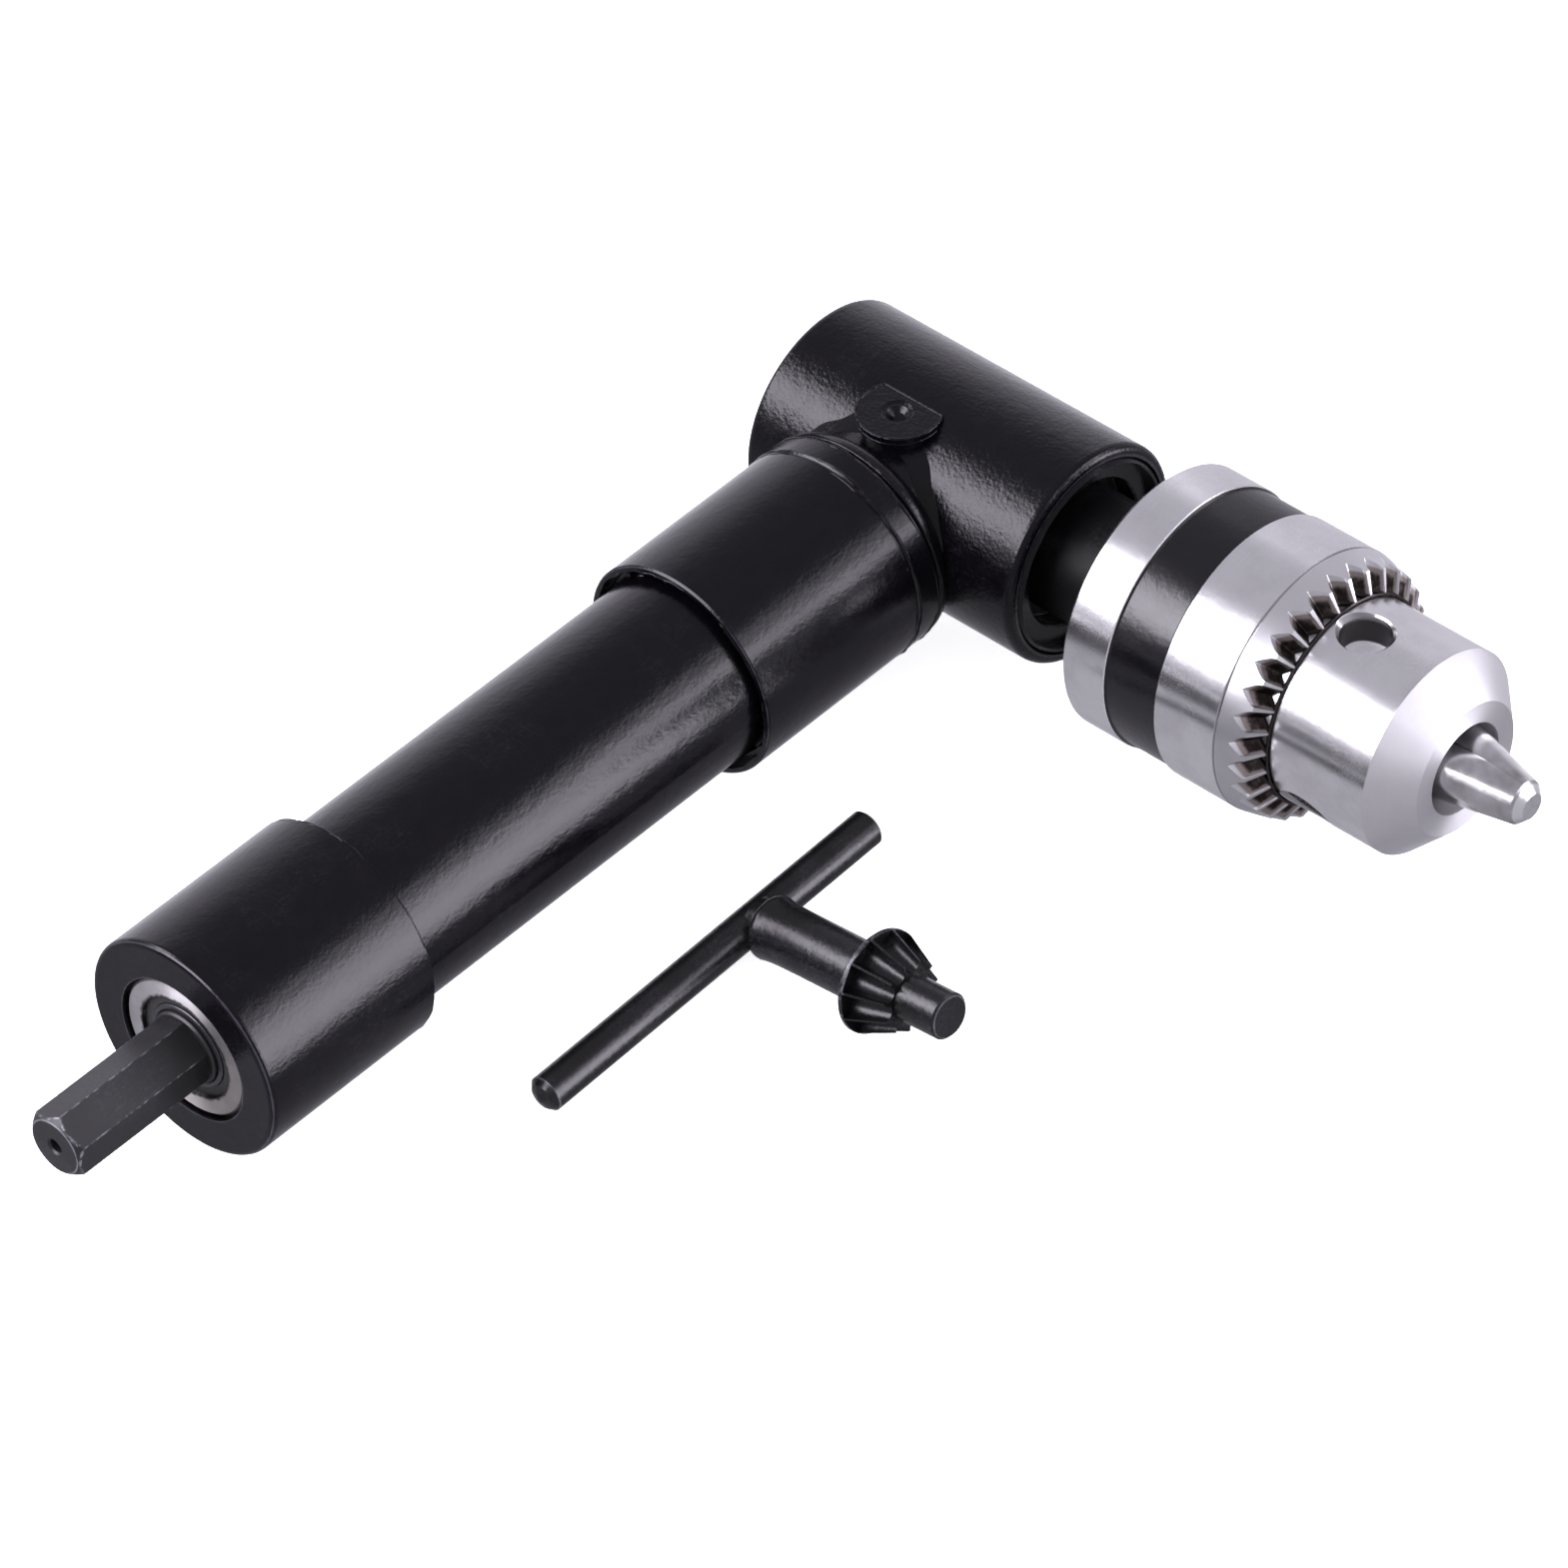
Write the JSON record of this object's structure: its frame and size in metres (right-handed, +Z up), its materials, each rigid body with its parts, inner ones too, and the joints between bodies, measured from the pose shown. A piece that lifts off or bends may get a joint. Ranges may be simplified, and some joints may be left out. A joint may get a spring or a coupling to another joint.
{
  "type": "right angle drill attachment",
  "caption": "Hex driven right angle head with bevel gears, a keyed three jaw chuck square to the long input housing, and its loose chuck key.",
  "frame": {"origin": "centre of the hex shank's end face, on the input axis", "axes": "+Y along the input axis from the shank toward the gear head, +X along the output axis toward the jaws, +Z up as the tool lies flat on a bench"},
  "size_m": [0.1137, 0.1707, 0.0354],
  "materials": {
    "black_paint": "gloss black enamel over machined and cast steel",
    "black_oxide": "black oxide with worn light edges",
    "bearing_steel": "ground bearing steel",
    "seal_rubber": "matt black nitrile rubber",
    "spring_steel": "hardened spring steel",
    "gear_steel": "machined alloy steel",
    "cage_brass": "pressed brass",
    "turned_steel": "fine turned bright steel",
    "jaw_steel": "ground hardened steel"
  },
  "bodies": {
    "housing": {"head_housing": "black_paint", "lock_ring": "black_paint", "front_collar": "black_paint", "middle_tube": "black_paint", "rear_collar": "black_paint", "mouth_ring": "black_oxide", "neck_circlip": "spring_steel", "rear_outer_ring": "bearing_steel", "rear_seal": "seal_rubber", "front_outer_ring": "bearing_steel", "end_outer_ring": "bearing_steel", "mouth_outer_ring": "bearing_steel", "mouth_seal": "seal_rubber"},
    "input_shaft": {"hex_shaft": "black_oxide", "rear_inner_ring": "black_oxide", "front_inner_ring": "bearing_steel", "bevel_pinion": "gear_steel", "pinion_pin": "gear_steel"},
    "rear_ball_ring": {"rear_balls": "bearing_steel", "rear_cage": "cage_brass"},
    "front_ball_ring": {"front_balls": "bearing_steel", "front_cage": "cage_brass"},
    "output_shaft": {"output_spindle": "gear_steel", "spindle_collar": "black_oxide", "bevel_gear": "gear_steel", "gear_cross_pin": "gear_steel", "end_inner_ring": "bearing_steel", "mouth_inner_ring": "bearing_steel", "chuck_body": "turned_steel", "thrust_washer": "spring_steel"},
    "end_ball_ring": {"end_ball_set": "bearing_steel", "end_cage": "cage_brass"},
    "mouth_ball_ring": {"mouth_ball_set": "bearing_steel", "mouth_cage": "cage_brass"},
    "sleeve": {"chuck_sleeve": "turned_steel", "closing_nut": "gear_steel"},
    "jaw_one": {"jaw_1": "jaw_steel"},
    "jaw_two": {"jaw_2": "jaw_steel"},
    "jaw_three": {"jaw_3": "jaw_steel"},
    "chuck_key": {"key_bar": "black_oxide", "key_stem": "black_oxide"}
  },
  "joints": [
    {"name": "spindle_spin", "type": "hinge", "parent": "housing", "child": "output_shaft", "pos_m": [0, 0.153, 0], "axis": [1, 0, 0], "continuous": true},
    {"name": "shaft_spin", "type": "hinge", "parent": "housing", "child": "input_shaft", "pos_m": [0, 0.153, 0], "axis": [0, 1, 0], "continuous": true},
    {"name": "rear_balls_roll", "type": "hinge", "parent": "housing", "child": "rear_ball_ring", "pos_m": [0, 0.0238, 0], "axis": [0, 1, 0], "continuous": true},
    {"name": "front_balls_roll", "type": "hinge", "parent": "housing", "child": "front_ball_ring", "pos_m": [0, 0.1381, 0], "axis": [0, 1, 0], "continuous": true},
    {"name": "end_balls_roll", "type": "hinge", "parent": "housing", "child": "end_ball_ring", "pos_m": [-0.0148, 0.153, 0], "axis": [1, 0, 0], "continuous": true},
    {"name": "mouth_balls_roll", "type": "hinge", "parent": "housing", "child": "mouth_ball_ring", "pos_m": [0.0173, 0.153, 0], "axis": [1, 0, 0], "continuous": true},
    {"name": "sleeve_turn", "type": "hinge", "parent": "output_shaft", "child": "sleeve", "pos_m": [0.05, 0.153, 0], "axis": [1, 0, 0], "range_deg": [0, 4960.2]},
    {"name": "jaw_1_slide", "type": "slide", "parent": "output_shaft", "child": "jaw_one", "axis": [-0.9703, 0.2063, 0.1264], "range_m": [0, 0.0207]},
    {"name": "jaw_2_slide", "type": "slide", "parent": "output_shaft", "child": "jaw_two", "axis": [-0.9703, -0.2126, 0.1154], "range_m": [0, 0.0207]},
    {"name": "jaw_3_slide", "type": "slide", "parent": "output_shaft", "child": "jaw_three", "axis": [-0.9703, 0.0063, -0.2418], "range_m": [0, 0.0207]},
    {"name": "key_lift", "type": "slide", "parent": "housing", "child": "chuck_key", "axis": [0, 0, 1], "range_m": [0, 0.04]}
  ],
  "couplings": [
    {"joint": "shaft_spin", "follows": "spindle_spin", "ratio": -1},
    {"joint": "rear_balls_roll", "follows": "spindle_spin", "ratio": -0.43002},
    {"joint": "front_balls_roll", "follows": "spindle_spin", "ratio": -0.43002},
    {"joint": "end_balls_roll", "follows": "spindle_spin", "ratio": 0.425},
    {"joint": "mouth_balls_roll", "follows": "spindle_spin", "ratio": 0.42778},
    {"joint": "jaw_1_slide", "follows": "sleeve_turn", "m_per_rad": 0.00023873},
    {"joint": "jaw_2_slide", "follows": "sleeve_turn", "m_per_rad": 0.00023873},
    {"joint": "jaw_3_slide", "follows": "sleeve_turn", "m_per_rad": 0.00023873}
  ]
}
